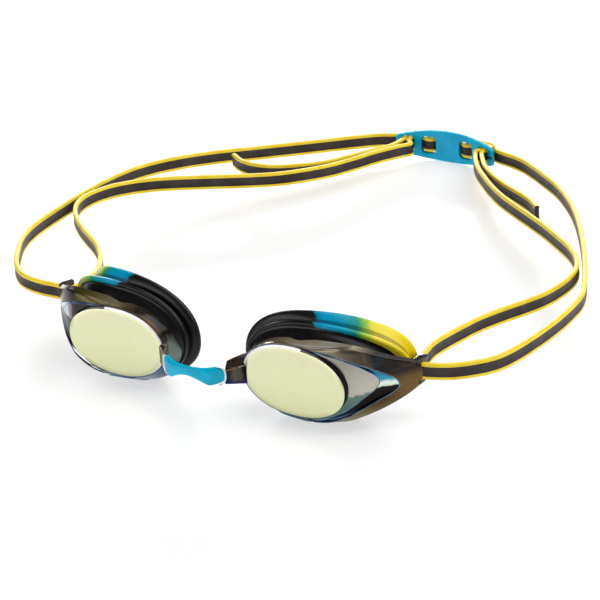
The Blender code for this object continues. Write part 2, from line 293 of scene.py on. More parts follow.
def start(name, side=1, **values):
    """A new material, and each point's place in the goggles' millimetres.

    Places are mirrored on the right side, so that both cups read alike.
    """
    material = new_material(name, **values)
    where = material.node_tree.nodes.new("ShaderNodeTexCoord").outputs["Object"]
    scale = Vector((side / MM, 1 / MM, 1 / MM))
    mapping = node("ShaderNodeMapping", {
        "Vector": where, "Scale": scale, "Location": -ORIGIN * scale,
    })
    return material, mapping.outputs["Vector"]


GLOSS_LUMPS = 0.7
GRAIN_DEPTH = 0.00003


def finish(material, where, colour, rough, grain=None):
    """Give a material its colour, uneven gloss between two limits, and a fine grain."""
    tree = material.node_tree
    inputs = tree.nodes["Principled BSDF"].inputs
    tree.links.new(colour, inputs["Base Color"])
    gloss = node("ShaderNodeMapRange", {
        "Value": noise(where, GLOSS_LUMPS), "From Min": 0.3, "From Max": 0.7,
        "To Min": rough[0], "To Max": rough[1],
    })
    tree.links.new(gloss.outputs["Result"], inputs["Roughness"])
    if grain:
        scale, strength = grain
        bump = node("ShaderNodeBump", {
            "Height": noise(where, scale), "Strength": strength, "Distance": GRAIN_DEPTH,
        })
        tree.links.new(bump.outputs["Normal"], inputs["Normal"])
    return material


def plain_material(name, lumps, stops, rough, grain=None, **values):
    """A material whose colour runs through a few stops with noise."""
    material, where = start(name, **values)
    colour = ramp(noise(where, lumps), stops)
    return finish(material, where, colour, rough, grain)


# ---------- materials


def mirror_material():
    """The lens's coating: pale gold, a little greener towards its lower edge."""
    material, where = start("mirror_gold", metallic=1.0)
    height = ragged(axes(where)["Z"], noise(where, 0.08), 8.0)
    colour = ramp(height, [
        (LENS_Z - 12, 0xD2D4A3), (LENS_Z + 2, 0xD0D3AB), (LENS_Z + 18, 0xCCCBAB),
    ])
    mottle = fade(noise(where, 0.35, 5.0), 0.45, 0.75)
    colour = mix(times(mottle, 0.25), colour, srgb(0xD6DBB8))
    return finish(material, where, colour, (0.08, 0.14), (3.0, 0.04))


def bevel_material():
    """The lens's polished bevel, with a painted highlight: nearly white over its nose half and dark
    beyond.
    """
    material, where = start("lens_bevel_highlight", metallic=0.1)
    along = calc("ABSOLUTE", axes(where)["X"])
    # Painted highlight: nearly white over the nose half, dark beyond it.
    colour = ramp(ragged(along, noise(where, 0.5), 2.0), [
        (20, 0xFFFFFA), (34, 0xFFFFFF), (43.6, 0xFAFAFA), (44.2, 0x120E14), (60, 0x0E0C10),
    ])
    return finish(material, where, colour, (0.12, 0.25))


def gold_edge_material():
    """The thin gold line where the coating ends."""
    stops = [(0.3, 0xA0984C), (0.6, 0xF0EECE)]
    return plain_material("lens_gold_line", 0.3, stops, (0.16, 0.28), metallic=0.8)


# The coating's colours along the shell, partly its own tint and partly painted reflection, each from
# the nose outwards, for the left and the right cup. The upper wall has a row near the front and one
# far behind it, with a painted highlight streak between, which fades in and out along its run. The
# wing and the wall below have their own.
SHELL_COAT = {
    1: {
        "near": [
            (24, 0x463C30), (38, 0x746852), (46, 0x8A806A), (58, 0x7E7866), (68, 0x4A4236),
            (74, 0x18110E), (80, 0x1E1612), (86, 0x42321E),
        ],
        "far": [
            (24, 0x362E26), (36, 0x887A60), (46, 0xB4A88C), (60, 0xB6AC96), (68, 0x645C4C),
            (73, 0x1E1814), (86, 0x2C2018),
        ],
        "wing": [
            (58, 0x3E3A32), (66, 0x221812), (74, 0x402C16), (82, 0x70582E), (88, 0x68563A),
        ],
        "below": [
            (18, 0x3E5468), (26, 0x54768E), (34, 0x346284), (44, 0x3C5468), (52, 0x687C7A),
            (60, 0x807C58), (72, 0x625030), (84, 0x685A3C),
        ],
        "painted_highlight": 0xD6CECE,
        "painted_highlight_run": (38, 46, 58, 62),
    },
    -1: {
        "near": [
            (18, 0x707672), (22, 0x2C2620), (29, 0x603E18), (33, 0x2E261E), (44, 0x70624A),
            (56, 0x605A26), (63, 0x2C2220), (76, 0x221B1A), (80, 0x76606A),
        ],
        "far": [
            (18, 0x707672), (22, 0x1E1C1A), (34, 0x342E24), (46, 0x968464), (58, 0x545022),
            (66, 0x261E1C), (80, 0x6E5A64),
        ],
        "wing": [
            (20, 0x6C746E), (25, 0x46443C), (58, 0x2C2422), (68, 0x281E1E), (76, 0x3C3028),
            (84, 0x78646C),
        ],
        "below": [
            (18, 0x123254), (26, 0x184A72), (38, 0x0C3C68), (46, 0x60768C), (52, 0xCED2D6),
            (70, 0xD4D6D8), (84, 0x969696),
        ],
        "painted_highlight": 0xB09E80,
        "painted_highlight_run": (38, 44, 54, 60),
    },
}


# The shell's front falls back by about this much times the square of how far it is past here.
FALL_RATE, FALL_FROM = 0.0052, 40.0


def smoke_material(side):
    """The shell: smoke plastic under a thin mirror coating, from olive and slate to dark brown,
    partly painted reflection.
    """
    material, where = start(
        f"smoke_shell_{word_of(side)}", side, metallic=0.45, specular_ior_level=0.25,
    )
    coat = SHELL_COAT[side]
    x, y, z = axes(where)
    cloud = noise(where, 0.09, 4.0)
    along = ragged(x, cloud, 8.0)
    up = ragged(z, cloud, 3.0)
    past = calc("MAXIMUM", calc("SUBTRACT", x, FALL_FROM), 0.0)
    fall = times(times(past, past), FALL_RATE)
    deep = ragged(calc("SUBTRACT", y, fall), cloud, 0.8)
    near, far = ramp(along, coat["near"]), ramp(along, coat["far"])
    wing, below = ramp(along, coat["wing"]), ramp(along, coat["below"])
    above = mix(fade(deep, 2.2, 2.8), near, far)
    # A painted highlight: a bright streak along the bend where the front skin turns back into the
    # upper wall.
    enter, inside, leave, gone = coat["painted_highlight_run"]
    band = times(fade(deep, 1.5, 2.1), fade(deep, 3.1, 2.4))
    span = times(fade(along, enter, inside), fade(along, gone, leave))
    above = mix(times(band, span), above, srgb(coat["painted_highlight"]))
    colour = mix(fade(up, LENS_Z + 2.5, LENS_Z + 7.5), wing, above)
    colour = mix(fade(up, LENS_Z - 3.0, LENS_Z - 8.0), colour, below)
    stretched = node("ShaderNodeMapping", {
        "Vector": where, "Scale": (0.5, 0.5, 1.6), "Rotation": (0.0, 0.5, 0.0),
    }).outputs["Vector"]
    tint = ramp(cloud, [(0.35, 0x60283C), (0.5, 0x78701E), (0.62, 0x1E4660)])
    share = times(fade(noise(stretched, 0.3), 0.5, 0.75), 0.3)
    colour = mix(share, colour, tint)
    return finish(material, where, colour, (0.12, 0.22), (1.5, 0.03))


def side_lens_material(side):
    """The side window beside the oval.

    The left one is warm grey, with a painted reflection that makes it darker and greener along its
    lower edge. The right one is dark, with a mauve stripe and a pale blue end, and nearly black
    below.
    """
    material, where = start(f"side_lens_{word_of(side)}", side, metallic=0.55)
    x, _, z = axes(where)
    if side > 0:
        height = ragged(z, noise(where, 0.5, 4.0), 3.0)
        slanted = calc("ADD", height, times(x, -0.28))
        edge = LENS_Z - 0.28 * 62 - 2.6
        # The darker, greener band along the lower edge is a painted reflection.
        colour = ramp(slanted, [
            (edge - 5, 0x506864), (edge, 0x607A70), (edge + 0.7, 0x78867A), (edge + 1.5, 0xC0BEB2),
            (edge + 7, 0xB8B4AA), (edge + 15, 0x96948A),
        ])
    else:
        colour = ramp(ragged(x, noise(where, 0.4), 2.0), [
            (58, 0x241E1C), (61.4, 0x34282A), (62.2, 0x846E78), (64.2, 0x9A868E), (65.0, 0xC4D4DA),
            (70, 0xB4CED6),
        ])
        colour = mix(fade(z, LENS_Z + 3.6, LENS_Z + 2.8), colour, srgb(0x18161A))
    return finish(material, where, colour, (0.12, 0.2), (1.5, 0.03))


def fin_material(side):
    """The facet round the side window: black; its tip's blue and white are coating tint and painted
    reflection.
    """
    material, where = start(f"fin_facet_{word_of(side)}", side, metallic=0.95)
    x, _, z = axes(where)
    height = ragged(z, noise(where, 0.3), 1.6)
    if side > 0:
        dark = ramp(height, [
            (LENS_Z - 14, 0x425C70), (LENS_Z - 9.5, 0x222832), (LENS_Z - 6, 0x181416),
            (LENS_Z + 4, 0x1E1E22), (LENS_Z + 10, 0x6E9EB8),
        ])
        # The tip's white and blue: partly the coating's tint, partly painted reflection.
        tip = ramp(height, [
            (LENS_Z - 3, 0x181416), (LENS_Z + 0.5, 0x221E1C), (LENS_Z + 0.9, 0xCEE0CE),
            (LENS_Z + 2.2, 0xE2EEE0), (LENS_Z + 3.5, 0x3E98B0), (LENS_Z + 7.2, 0x2E7098),
            (LENS_Z + 8.4, 0x1E2C46), (LENS_Z + 12.5, 0x6096B2),
        ])
        colour = mix(fade(x, 63, 67), dark, tip)
    else:
        under = fade(height, LENS_Z - 2.5, LENS_Z - 4.5)
        dark = mix(under, srgb(0x1A181C), srgb(0xC8CED4))
        # The tip's pale blue and white: partly the coating's tint, partly painted reflection.
        tip = ramp(height, [
            (LENS_Z + 2.2, 0x141216), (LENS_Z + 3.2, 0x222026), (LENS_Z + 3.8, 0xBED0D4),
            (LENS_Z + 7.0, 0xCEDCE0), (LENS_Z + 12, 0x96BECE),
        ])
        colour = mix(fade(x, 60, 64), dark, tip)
    return finish(material, where, colour, (0.08, 0.16))


def edge_material(side):
    """The moulded edges' fine line: a painted blue highlight, dark round the oval and grey low on the
    right cup.
    """
    material, where = start(f"edge_highlight_line_{word_of(side)}", side, metallic=0.6)
    x, _, z = axes(where)
    # The blue here is a painted highlight along the moulded edges.
    colour = ramp(noise(where, 0.14), [(0.34, 0x243E70), (0.5, 0x7096B2), (0.66, 0x2C4A80)])
    oval = ramp(noise(where, 0.2), [(0.35, 0x221E24), (0.65, 0x2C3C5C)])
    beyond = fade(x, 44, 50)
    colour = mix(beyond, oval, colour)
    if side < 0:
        low = times(beyond, fade(z, LENS_Z - 4, LENS_Z - 8))
        colour = mix(low, colour, srgb(0x969CA2))
    return finish(material, where, colour, (0.1, 0.2))


def black_material():
    """The lens's dark step and the inside of the shell."""
    stops = [(0.3, 0x08070A), (0.7, 0x18131C)]
    return plain_material("lens_step", 0.3, stops, (0.36, 0.48), specular_ior_level=0.1)


def rubber_material():
    """The seal's soft black rubber, with a satin sheen."""
    stops = [(0.3, 0x0F0D0D), (0.7, 0x1B1818)]
    return plain_material(
        "seal_rubber", 0.25, stops, (0.24, 0.36), (2.5, 0.06), specular_ior_level=0.3,
    )


def ridge_material(side, name="seal_ridge", shade=0.0):
    """The seal's ridges: black at the nose, then cyan, green and yellow towards the temple."""
    material, where = start(f"{name}_{word_of(side)}", side, specular_ior_level=0.26)
    x, y, z = axes(where)
    torn = times(noise(where, 0.4, 4.0), 5.0)
    behind = times(calc("SUBTRACT", y, 10.0), 0.55)
    run = calc("ADD", calc("ADD", x, behind), torn)
    warm, end = (0xF6E22C, 0xF6D610) if side > 0 else (0xD6E48C, 0xD6D880)
    colour = ramp(run, [
        (44.8, 0x181618), (46.0, 0x0288B0), (50, 0x00A0CE), (58, 0x00A2BE), (62.6, 0x149682),
        (64.4, 0x58B04C), (67, 0xAACC3C), (69.5, warm),
        (75, warm), (84, end),
    ])
    top = fade(calc("ADD", z, torn), LENS_Z + 3.0, LENS_Z + 8.0)
    colour = mix(top, srgb(0x161416), colour)
    # A shade darkens this copy towards black, as painted shade for the groove.
    if shade:
        colour = mix(shade, colour, srgb(0x0C0B0E))
    return finish(material, where, colour, (0.26, 0.38), (2.5, 0.05))


def arm_material(side):
    """The nose arm's front panel: dark olive grey, deep blue towards the bridge."""
    material, where = start(f"arm_panel_{word_of(side)}", side, metallic=0.9)
    x, _, z = axes(where)
    panel = ramp(ragged(x, noise(where, 0.6), 2.0), [
        (14.2, 0x10225C), (14.9, 0x162854), (15.4, 0x282622), (16.6, 0x565044), (18.6, 0x48443A),
        (19.4, 0x141012),
    ])
    low = fade(z, LENS_Z - 3.4, LENS_Z - 4.6)
    colour = mix(low, panel, srgb(0x302254))
    return finish(material, where, colour, (0.1, 0.18))


def arm_edge_material():
    """The arm's polished brow, with a painted highlight: a bright line from white through orange to
    slate.
    """
    stops = [(0.35, 0xECE2CE), (0.5, 0xC4783C), (0.65, 0x787C96)]
    return plain_material("arm_brow_highlight", 0.5, stops, (0.12, 0.22), metallic=0.7)


def dark_coat_material():
    """Smoke plastic seen nearly black, with a clear gloss."""
    stops = [(0.35, 0x1A1512), (0.55, 0x3A342C), (0.7, 0x18161A)]
    return plain_material(
        "smoke_dark", 0.5, stops, (0.08, 0.18), (1.5, 0.04), specular_ior_level=0.45,
    )


def lip_material():
    """The bright lip at the arm's end."""
    material, where = start("arm_lip", metallic=0.3)
    colour = ramp(axes(where)["Z"], [
        (LENS_Z - 5, 0xFFFFFF), (LENS_Z - 1, 0xD6DEE6), (LENS_Z + 3, 0xF4F4F4),
    ])
    return finish(material, where, colour, (0.1, 0.2))


def moulded_material(name, dark, light, rough=(0.24, 0.36), grain=(2.0, 0.05)):
    """Coloured semi-gloss plastic or silicone with a fine grain."""
    stops = [(0.35, dark), (0.65, light)]
    return plain_material(name, 0.12, stops, rough, grain, specular_ior_level=0.25)


# ---------- the cups


def oval_radius(angle, grow=0.0):
    """Distance from the lens's middle to its edge, at an angle seen from the front."""
    a, b = LENS_HALF[0] + grow, LENS_HALF[1] + grow
    c, s = abs(cos(angle)) / a, abs(sin(angle)) / b
    return (c ** OVAL_POWER + s ** OVAL_POWER) ** (-1 / OVAL_POWER)


# The shell's front outline past the lens, from the front: x, and height from the lens's middle.
WING_TOP = [
    (36.5, 14), (41, 14.1), (45, 14.4), (49.5, 14.9), (54, 15.4), (58, 15.7), (61.5, 15.4),
    (65, 14.5), (68.7, 12.8), (72.3, 10.8), (75.2, 9.4), (77.8, 7.9), (79.8, 5.8),
]
WING_BOTTOM = [
    (80.6, 3.2), (80.4, 0.8), (79.6, -1.2), (77.8, -3.5), (74.5, -6.1), (69, -9.3), (60.4, -13),
    (53.5, -14.8), (46.7, -15.5), (40, -15.2), (34, -14.6),
]
# The facet round the side window: its outer edge, and its inner edge along the window.
FIN_OUTER = [
    (42.5, 13.6), (46.9, 13.3), (51.5, 13), (56.8, 12.3), (60.5, 11.2), (63.8, 9.9), (67, 8.3),
    (69.8, 6.5), (72.4, 4.4), (74.2, 2.4), (74.9, 0.5), (74.5, -1.1), (72.6, -2.8), (70.6, -4),
    (66.9, -6.3), (60.8, -10.2), (53, -13.6), (46, -14.9),
]
FIN_INNER = [
    (42.5, 13.4), (46.9, 13), (51.5, 12.6), (56.8, 11.8), (60.5, 10.6), (63.8, 9), (66.4, 7.2),
    (68.4, 5.4), (69.6, 3.6), (69.8, 2), (68.4, -0.6), (64, -4.8), (59, -8.8), (52.6, -12.6),
    (46, -14.6),
]
# The shell's front skin from above: x and y. Then how deep its wall goes behind the skin, and how
# far the wall leans out, along its upper and its lower half.
SKIN_PLAN = [
    (14, 0.3), (30, 0.35), (44, 0.6), (52, 1), (57, 1.6), (60, 2.3), (63, 3.7), (66, 5.6), (69, 8),
    (72, 11), (75, 14.3), (78, 17.8), (81, 21.4),
]
WALL_TOP = [
    (14, 9), (18, 8.8), (22, 7.6), (27, 6.4), (33, 5.6), (40, 5.8), (46, 6.2), (52, 5.4), (58, 4.4),
    (61.5, 3.8), (66, 3.2), (70, 2.9), (82, 2.6),
]
WALL_BOTTOM = [(14, 9), (18, 7.6), (22, 6.4), (28, 6), (41, 6), (48, 4.4), (56, 2.8), (82, 2.6)]
LEAN_TOP = [
    (14, 0.7), (18, 0.5), (22, 0.1), (30, 0), (38, 0.1), (46, 0.4), (58, 0.6), (70, 0.4), (82, 0.1),
]
LEAN_BOTTOM = [
    (14, 0.7), (18, 2.6), (22, 3.6), (30, 3.4), (37, 3.1), (43, 2.2), (48, 0.8), (54, 0.2),
    (82, 0.1),
]
SHELL_SEGMENTS = 280
RECESS = 0.3
# Between these angles round the lens the shell's front follows the oval; the wing is the rest.
RIM_FROM, RIM_TO = 1.85, 4.15
RIM_STEPS = 300


def angle_and_reach(point):
    """Where a point lies round the lens's middle, and how far from it."""
    return atan2(point.y, point.x - LENS_X), hypot(point.x - LENS_X, point.y)


def polar(points):
    """A function that reads, at an angle round the lens's middle, an outline's distance."""
    angles, reaches = zip(*sorted(angle_and_reach(p) for p in spline(points)))
    return lambda angle: float(np.interp(angle, angles, reaches))


def shell_outline():
    """Evenly spaced points on the shell's front outline, with the angle and reach of each."""
    rim = []
    for k in range(RIM_STEPS):
        angle = RIM_FROM + (RIM_TO - RIM_FROM) * k / (RIM_STEPS - 1)
        reach = oval_radius(angle, RIM)
        rim.append(Vector((LENS_X + reach * cos(angle), reach * sin(angle))))
    wing = spline([rim[-1], *reversed(WING_BOTTOM), *reversed(WING_TOP), rim[0]], 12)
    even = resample(rim + wing[1:-1], SHELL_SEGMENTS, closed=True)
    return [angle_and_reach(point) for point in even]


def make_shell(side, materials):
    """The hard shell: rim round the lens, side window, fin facet, wing and the wall behind."""
    skin_y = along_curve(SKIN_PLAN)
    wall_top, wall_bottom = along_curve(WALL_TOP), along_curve(WALL_BOTTOM)
    lean_top, lean_bottom = along_curve(LEAN_TOP), along_curve(LEAN_BOTTOM)
    fin_outer, fin_inner = polar(FIN_OUTER), polar(FIN_INNER)
    spots = []
    for angle, edge in shell_outline():
        lens = oval_radius(angle)
        fin = smooth(1.5, 1.2, angle) * smooth(-1.3, -1.0, angle)
        inner = lens + 0.1 + max(0.0, fin_inner(angle) - lens - 0.1) * fin
        outer = inner + 0.1 + max(0.0, fin_outer(angle) - inner - 0.1) * fin
        x = LENS_X + edge * cos(angle)
        lower = smooth(0.15, -0.15, sin(angle))
        wall = wall_top(x) + (wall_bottom(x) - wall_top(x)) * lower
        lean = lean_top(x) + (lean_bottom(x) - lean_top(x)) * lower
        spots.append((angle, lens, inner, min(outer, edge - 0.35), edge, fin, wall, lean))

    def at(kind, share=0.0):
        """One ring of the shell: each point's distance from the lens's middle, and its depth."""
        ring = []
        for angle, lens, inner, outer, edge, fin, wall, lean in spots:
            deep = RECESS * fin * smooth(0.3, 4.0, inner - lens)
            corner = 0.22 + 0.5 * fin
            drop = 0.1 + fin * (0.5 + 1.3 * smooth(0.0, -0.5, sin(angle)))
            start = outer + 0.08 + 0.3 * fin
            far = max(start, edge - corner)
            if kind == "foot":
                distance, depth = lens - 0.4, deep + 0.2
            elif kind == "window":
                distance, depth = lens + (inner - 0.05 - 0.2 * fin - lens) * share, deep
            elif kind == "window_edge":
                distance, depth = inner, deep * 0.72
            elif kind == "facet":
                near, beyond = inner + 0.02 + 0.03 * fin, outer - 0.02 - 0.2 * fin
                distance = near + (beyond - near) * share
                depth = deep * 0.72 * (1 - share) + 0.5 * fin * sin(pi * share)
            elif kind == "crest":
                distance, depth = outer + (start - outer) * share * 0.6, -0.2 * fin
            elif kind == "skin":
                distance, depth = start + (far - start) * share, drop * share * share
            elif kind == "round":
                distance = far + (edge - far) * sin(share)
                depth = drop + corner * (1 - cos(share))
            elif kind == "wall":
                front = drop + corner
                distance = edge + lean * share
                depth = front + (wall - front) * share
            elif kind == "back":
                distance, depth = edge + lean - share, wall
            else:
                distance, depth = lens - 1.9, 2.8
            x = LENS_X + distance * cos(angle)
            ring.append(Vector((side * x, skin_y(x) + depth, OVAL_Z + distance * sin(angle))))
        return ring

    bm = bmesh.new()
    rings = [at("foot")] + [at("window", i / 6) for i in range(7)] + [at("window_edge")]
    rings += [at("facet", i / 6) for i in range(7)] + [at("crest", 0.0), at("crest", 1.0)]
    rings += [at("skin", i / 8) for i in range(9)]
    rings += [at("round", radians(turn)) for turn in (22, 45, 67, 90)]
    rings += [at("wall", i / 5) for i in range(1, 6)] + [at("back", 0.15), at("back", 0.7), at("eye")]
    kinds = [3] + [1] * 6 + [4] * 2 + [2] * 6 + [4] * 2 + [0] * 18 + [3] * 4
    skin(bm, rings, kinds, closed=True)
    word = word_of(side)
    add_piece(f"{word}_shell", bm, materials, f"{word}_cup",
              f"{word}_eyecup", crease=28.0)


# The lens plate's edge: how far each ring stands in from the oval at its sides and at its ends,
# how far its middle is moved outwards and down, its depth, and what it is made of.
LENS_RINGS = [
    (0.43, 0.64, 0.33, 0.46, 0, 0), (0.40, 0.59, 0.31, 0.44, 0.02, 3),
    (0.34, 0.50, 0.26, 0.38, 0.06, 1), (0.08, 0.10, 0, 0.04, 0.34, 1), (0.04, 0.04, 0, 0, 0.44, 2),
    (0, 0, 0, 0, 0.6, 2), (0, 0, 0, 0, 1.6, 2), (0, 0, 0, 0, 3.4, 2), (0.8, 0.8, 0, 0, 3.6, 2),
    (2.4, 2.4, 0, 0, 3.6, 2),
]
LENS_CROWN = 0.16
LENS_BACK = 2.2
LENS_SEGMENTS = 160
INNERMOST = 0.03


def make_lens(side, materials):
    """The mirrored oval: a slightly crowned face, a bevel that widens over its top and a step."""
    side_in, end_in, shift, drop, *_ = LENS_RINGS[0]
    rings = []
    for share in (INNERMOST, 0.25, 0.5, 0.75, 0.9):
        crown = -LENS_CROWN * (1 - share ** 2)
        rings.append(lens_ring(side, share, side_in, end_in, shift, drop, crown))
    kinds = [0] * (len(rings) - 1)
    for side_in, end_in, shift, drop, depth, kind in LENS_RINGS:
        rings.append(lens_ring(side, 1.0, side_in, end_in, shift, drop, depth))
        kinds.append(kind)
    for share in (0.6, INNERMOST):
        rings.append(lens_ring(side, share, side_in, end_in, shift, drop, LENS_BACK))
        kinds.append(2)
    bm = loft(rings, kinds)
    bm.faces.ensure_lookup_table()
    bm.faces[-1].material_index = 2
    word = word_of(side)
    add_piece(f"{word}_mirror", bm, materials, f"{word}_cup",
              f"{word}_lens", crease=50.0)


def lens_ring(side, share, side_in, end_in, shift, drop, depth):
    """A ring of the lens plate: a share of the oval, moved outwards by shift and down by drop."""
    ring = []
    for k in range(LENS_SEGMENTS):
        angle = tau * k / LENS_SEGMENTS
        x = shift + share * (LENS_HALF[0] - side_in) * power_sin(angle + pi / 2)
        z = share * (LENS_HALF[1] - end_in) * power_sin(angle) - drop
        ring.append(Vector((side * (LENS_X + x), depth, OVAL_Z + z)))
    return ring


# Each ring of the seal: nose end, temple end, height up, height down, depth, and how far and how
# sharply its temple end is swept back.
SEAL_RINGS = [
    (17.7, 63, 13.5, 14.2, 3.2, 5, 3.5),
    (17.3, 66, 13.9, 15, 5.4, 6.8, 3.8),
    (16.4, 68.4, 15.6, 16, 7.2, 8.8, 4),
    (14.4, 71, 16.9, 16.6, 8.7, 12.6, 4),
    (13.4, 73.4, 18.6, 17.6, 8.7, 15, 4.2),
    (13, 74.2, 19.2, 18, 9.6, 15.3, 4.2),
    (13.2, 73.8, 18.8, 17.8, 10.8, 15.4, 4.2),
    (13.8, 71.2, 16.8, 16.6, 11.7, 15.4, 4),
    (11.6, 71.2, 19.4, 17.9, 12.2, 17.5, 3.2),
    (10.3, 71.6, 20.8, LENS_Z, 13.3, 18.9, 3),
    (10.6, 71.2, 20.4, 18.3, 14.9, 19, 3),
    (13, 69, 17.4, 15.6, 15.6, 17.8, 3),
    (16.6, 64, 14, 13.2, 11, 11.8, 3.5),
    (18.1, 60.6, 12.8, 12.9, 4.6, 5.2, 3.5),
    (18.1, 60.6, 12.8, 13.1, 3.2, 5, 3.5),
]
SEAL_STEPS = 5
SEAL_SEGMENTS = 128
# Which of those rows the coloured ridges run from and to, and the rows of the groove between them,
# which get a darker copy of the ridge colours as painted shade.
RIDGES = (3.4, 10.5)
GROOVE_SHADE = (7.1, 7.7)


def eye_ring(side, nose, outer, up, down, depth, sweep, bend):
    """An eye-shaped ring round one cup; its outer end is swept back from depth by sweep."""
    middle, half = (nose + outer) / 2, (outer - nose) / 2
    ring = []
    for i in range(SEAL_SEGMENTS):
        angle = tau * i / SEAL_SEGMENTS
        x = middle + half * power_sin(angle + pi / 2)
        z = power_sin(angle) * (up if sin(angle) > 0 else down)
        back = sweep * max(0.0, (x - nose) / (outer - nose)) ** bend
        ring.append(Vector((side * x, depth + back, LENS_Z + z)))
    return ring


def make_seal(side, materials):
    """The soft seal: neck, front ridge, groove, and the wide lip that meets the face."""
    values = np.array(SEAL_RINGS)
    count = len(values)
    rings, kinds = [], []
    for i in range(count):
        p0, p1, p2, p3 = (values[(i + k) % count] for k in (-1, 0, 1, 2))
        straight = i in (0, count - 1, count - 2)
        for step in range(SEAL_STEPS):
            t = step / SEAL_STEPS
            row = p1 + (p2 - p1) * t if straight else between(p0, p1, p2, p3, t)
            row[3] = min(row[3], LENS_Z)  # no lower than the surface
            rings.append(eye_ring(side, *row))
            # Strips in the groove take the darker copy of the ridge colours: painted shade.
            groove = GROOVE_SHADE[0] <= i + t < GROOVE_SHADE[1]
            ridge = RIDGES[0] <= i + t < RIDGES[1]
            kinds.append(2 if groove else 1 if ridge else 0)
    bm = bmesh.new()
    skin(bm, rings, kinds, closed=True)
    word = word_of(side)
    add_piece(f"{word}_seal", bm, materials, f"{word}_cup",
              f"{word}_gasket", crease=60.0)


def rounded_box(centre, half, radius):
    """A bmesh of a box with rounded edges."""
    bm = bmesh.new()
    bmesh.ops.create_cube(bm, size=2.0)
    for vert in bm.verts:
        vert.co = Vector(centre) + vert.co * Vector(half)
    bmesh.ops.bevel(bm, geom=list(bm.edges), offset=radius, segments=3,
                    profile=0.5, affect="EDGES")
    return bm


# The nose arm, from the lens forward to the bridge: x and y of its front face from above, how
# thick it is, and the top of its sloping upper face, the top and the foot of its front face.
ARM_STATIONS = [
    (20.5, 0.9, 5.2, 5.6, 2.2, -5.6),
    (18.4, -0.6, 5.2, 5.5, 1.9, -5.5),
    (17, -1.8, 4.8, 5.2, 1.6, -5.3),
    (15.6, -3.1, 4, 4.9, 1.3, -5.1),
    (14.4, -4.3, 3.2, 4.5, 1, -4.9),
    (13.2, -5.4, 2.2, 4, 0.7, -4.7),
]
ARM_BEVEL = 0.28


def make_arm(side, materials):
    """The arm that carries the nose bridge: a front panel, and an upper face that slopes back."""
    rings = []
    for x, front, thick, top, brow, foot in ARM_STATIONS:
        e = ARM_BEVEL
        back = front + thick
        section = [
            (front + e, foot), (front, foot + e), (front, brow - e), (front + 0.4 * e, brow),
            (front + e, brow + 0.8 * e), (back - 1.5 * e, top - 0.3 * e), (back - e, top),
            (back, top - e), (back, foot + 2 * e), (back - e, foot + e),
        ]
        rings.append([Vector((side * x, y, LENS_Z + z)) for y, z in section])

    def kind(i):
        """The front panel is 1, its polished edges and the upper edge, which carry the painted
        highlight, 2, and the rest 0.
        """
        return {1: 1, 2: 2, 3: 2, 5: 2, 6: 2}.get(i, 0)

    word = word_of(side)
    add_piece(f"{word}_nose_arm", loft(rings, [kind] * len(rings)), materials,
              f"{word}_cup", crease=24.0)


# The bright lip that holds the bridge's end in the arm: x, y and height of its middle line, and
# half its thickness and half its width.
ARM_LIP = [
    (11.1, -7.2, 2.7), (12.3, -6.4, 2.4), (13.2, -5.7, 1.3), (13.5, -5.4, -0.8), (13.3, -5.6, -2.9),
    (12.5, -6.2, -4.2), (11.3, -7.1, -4.8),
]
LIP_HALF = (0.32, 0.5)


def make_arm_lip(side, materials):
    """The lip: a flat-sided bead along its line, thinner towards its ends."""
    line = resample(spline(ARM_LIP), 28)
    rings = []
    for i, point in enumerate(line):
        along = heading(line, i)
        out = along.cross(Vector((1, 0, 0))).normalized()
        over = along.cross(out)
        taper = 0.25 + 0.75 * sin(pi * (i + 1) / (len(line) + 1)) ** 0.5
        ring = []
        for k in range(10):
            angle = tau * k / 10
            spot = point + taper * (out * LIP_HALF[0] * cos(angle) + over * LIP_HALF[1] * sin(angle))
            ring.append(Vector((side * spot.x, spot.y, LENS_Z + spot.z)))
        rings.append(ring)
    word = word_of(side)
    add_piece(f"{word}_arm_lip", loft(rings), materials, f"{word}_cup", crease=60.0)


def make_post(side, materials):
    """The upright bar at the temple that the strap wraps round, between two lugs."""
    parts = {
        "strap_post": ((78.3, 25.3, 2.5), (1.1, 1.7, 4.5), 0.6),
        "upper_lug": ((78.5, 23.2, 6.7), (1.5, 3.2, 0.75), 0.45),
        "lower_lug": ((78.5, 23.2, -1.4), (1.5, 3.2, 0.75), 0.45),
    }
    word = word_of(side)
    for name, ((x, y, z), half, radius) in parts.items():
        box = rounded_box((side * x, y, LENS_Z + z), half, radius)
        add_piece(f"{word}_{name}", box, materials, f"{word}_cup", crease=30.0)


# ---------- bridge

# The bridge's middle line from above, and its upper and lower edge: how far from the middle, and
# height from the lens's middle.
BRIDGE_LINE = [
    (-12.9, -5), (-11.3, -6.2), (-8.3, -8.4), (-4.2, -9.7), (0, -10), (4.2, -9.7), (8.3, -8.4),
    (11.3, -6.2), (12.9, -5),
]
BRIDGE_TOP = [(0, 1.9), (4, 2), (8, 2.2), (10.6, 2.5), (12.2, 2), (13.3, 0.9)]
BRIDGE_BOTTOM = [
    (0, -1.4), (2.5, -1.8), (5, -2.9), (7.2, -4.1), (8.6, -4.6), (10.2, -4.3), (11.8, -3.8),
    (13.3, -2.4),
]
BRIDGE_POWER = 3.4


